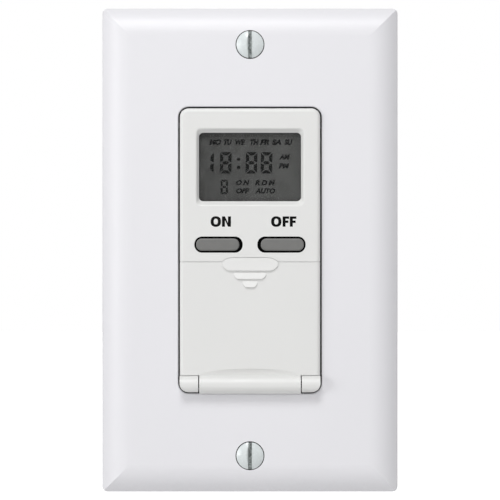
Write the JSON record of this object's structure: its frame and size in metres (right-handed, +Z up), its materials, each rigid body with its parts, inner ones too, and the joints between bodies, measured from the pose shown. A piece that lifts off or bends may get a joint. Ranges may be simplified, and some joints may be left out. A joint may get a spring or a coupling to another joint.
{
  "type": "timer light switch",
  "caption": "Wall-box light switch with a programmable clock timer: small display, on and off buttons, a hinged door over the program keys, and a decorator wall plate.",
  "frame": {"origin": "midway between the two wall box screws, on the strap's back plane, which is the wall's face", "axes": "+Y into the wall along the box screws, +Z up the plate, +X to the right seen from the front"},
  "size_m": [0.0698, 0.0427, 0.1142],
  "materials": {
    "plate_plastic": "smooth moulded, light satin",
    "bezel_plastic": "fine satin moulding",
    "painted_screw": "thin white enamel on steel",
    "zinc_strap": "zinc plated, rolled",
    "zinc_screw": "zinc plated",
    "keeper_fibre": "pressed red-brown fibre",
    "ground_green": "green dyed",
    "clear_window": "clear, polished",
    "lcd_front": "polished, smoky polariser",
    "lcd_rear": "polished",
    "reflector_foil": "satin foil",
    "inner_plastic": "plain moulded",
    "strip_rubber": "soft, layered",
    "key_plastic": "fine satin moulding",
    "switch_black": "plain moulded",
    "plunger_plastic": "plain moulded",
    "pin_steel": "drawn wire",
    "board_laminate": "green lacquer over glass fibre",
    "spacer_nylon": "natural nylon",
    "cell_steel": "plated, lightly brushed",
    "contact_spring": "nickel plated",
    "case_plastic": "spark-textured moulding",
    "terminal_brass": "plain",
    "relay_plastic": "plain moulded",
    "relay_shell": "smooth moulded",
    "relay_iron": "nickel plated soft iron",
    "coil_copper": "lacquered copper wire",
    "contact_copper": "copper alloy with silver rivets",
    "chip_epoxy": "moulded epoxy",
    "crystal_can": "drawn can",
    "resistor_body": "coated chips",
    "connector_black": "plain moulded",
    "film_yellow": "boxed film capacitor",
    "can_sleeve": "shrunk sleeve on an aluminium can",
    "varistor_coat": "dipped epoxy",
    "diode_body": "moulded, banded"
  },
  "bodies": {
    "timer": {"battery_contact_negative": "contact_spring", "battery_contact_positive": "contact_spring", "battery_drawer": "inner_plastic", "board_header": "connector_black", "board_screws": "zinc_screw", "board_socket": "connector_black", "board_spacers": "spacer_nylon", "case_screws": "zinc_screw", "chip_resistors": "resistor_body", "clock_crystal": "crystal_can", "coin_cell": "cell_steel", "controller_chip": "chip_epoxy", "display_lens": "clear_window", "dropper_capacitor": "film_yellow", "front_bezel": "bezel_plastic", "ground_screw": "ground_green", "hinge_pin": "pin_steel", "key_switches": "switch_black", "lcd_connector_strips": "strip_rubber", "lcd_front_glass": "lcd_front", "lcd_holder": "inner_plastic", "lcd_rear_glass": "lcd_rear", "lcd_reflector": "reflector_foil", "logic_board": "board_laminate", "mounting_screws": "zinc_screw", "mounting_strap": "zinc_strap", "plate_screws": "painted_screw", "power_board": "board_laminate", "rear_case": "case_plastic", "rectifier_diodes": "diode_body", "relay_base": "relay_plastic", "relay_coil": "coil_copper", "relay_core": "relay_iron", "relay_cover": "relay_shell", "relay_fixed_contacts": "contact_copper", "relay_yoke": "relay_iron", "screw_washers": "keeper_fibre", "smoothing_capacitor": "can_sleeve", "surge_varistor": "varistor_coat", "terminal_plates": "terminal_brass", "terminal_screws": "terminal_brass", "wall_plate": "plate_plastic"},
    "door": {"door": "bezel_plastic"},
    "on_button": {"on_button": "key_plastic", "on_plunger": "plunger_plastic"},
    "off_button": {"off_button": "key_plastic", "off_plunger": "plunger_plastic"},
    "mode_key": {"mode_key": "key_plastic", "mode_plunger": "plunger_plastic"},
    "day_key": {"day_key": "key_plastic", "day_plunger": "plunger_plastic"},
    "hour_key": {"hour_key": "key_plastic", "hour_plunger": "plunger_plastic"},
    "minute_key": {"minute_key": "key_plastic", "minute_plunger": "plunger_plastic"},
    "reset_key": {"reset_key": "key_plastic", "reset_plunger": "plunger_plastic"},
    "relay_armature": {"relay_armature": "relay_iron", "relay_moving_contact": "contact_copper"}
  },
  "joints": [
    {"name": "door_hinge", "type": "hinge", "parent": "timer", "child": "door", "pos_m": [0, -0.0065, -0.0316], "axis": [1, 0, 0], "range_deg": [0, 165]},
    {"name": "on_press", "type": "slide", "parent": "timer", "child": "on_button", "axis": [0, 1, 0], "range_m": [0, 0.0008], "stiffness_N_per_m": 1500},
    {"name": "off_press", "type": "slide", "parent": "timer", "child": "off_button", "axis": [0, 1, 0], "range_m": [0, 0.0008], "stiffness_N_per_m": 1500},
    {"name": "mode_press", "type": "slide", "parent": "timer", "child": "mode_key", "axis": [0, 1, 0], "range_m": [0, 0.0006], "stiffness_N_per_m": 1500},
    {"name": "day_press", "type": "slide", "parent": "timer", "child": "day_key", "axis": [0, 1, 0], "range_m": [0, 0.0006], "stiffness_N_per_m": 1500},
    {"name": "hour_press", "type": "slide", "parent": "timer", "child": "hour_key", "axis": [0, 1, 0], "range_m": [0, 0.0006], "stiffness_N_per_m": 1500},
    {"name": "minute_press", "type": "slide", "parent": "timer", "child": "minute_key", "axis": [0, 1, 0], "range_m": [0, 0.0006], "stiffness_N_per_m": 1500},
    {"name": "reset_press", "type": "slide", "parent": "timer", "child": "reset_key", "axis": [0, 1, 0], "range_m": [0, 0.0006], "stiffness_N_per_m": 1500},
    {"name": "relay_pull_in", "type": "hinge", "parent": "timer", "child": "relay_armature", "pos_m": [0.0056, 0.0132, 0.02], "axis": [0, 0, -1], "range_deg": [0, 4], "stiffness_Nm_per_rad": 0.005}
  ]
}
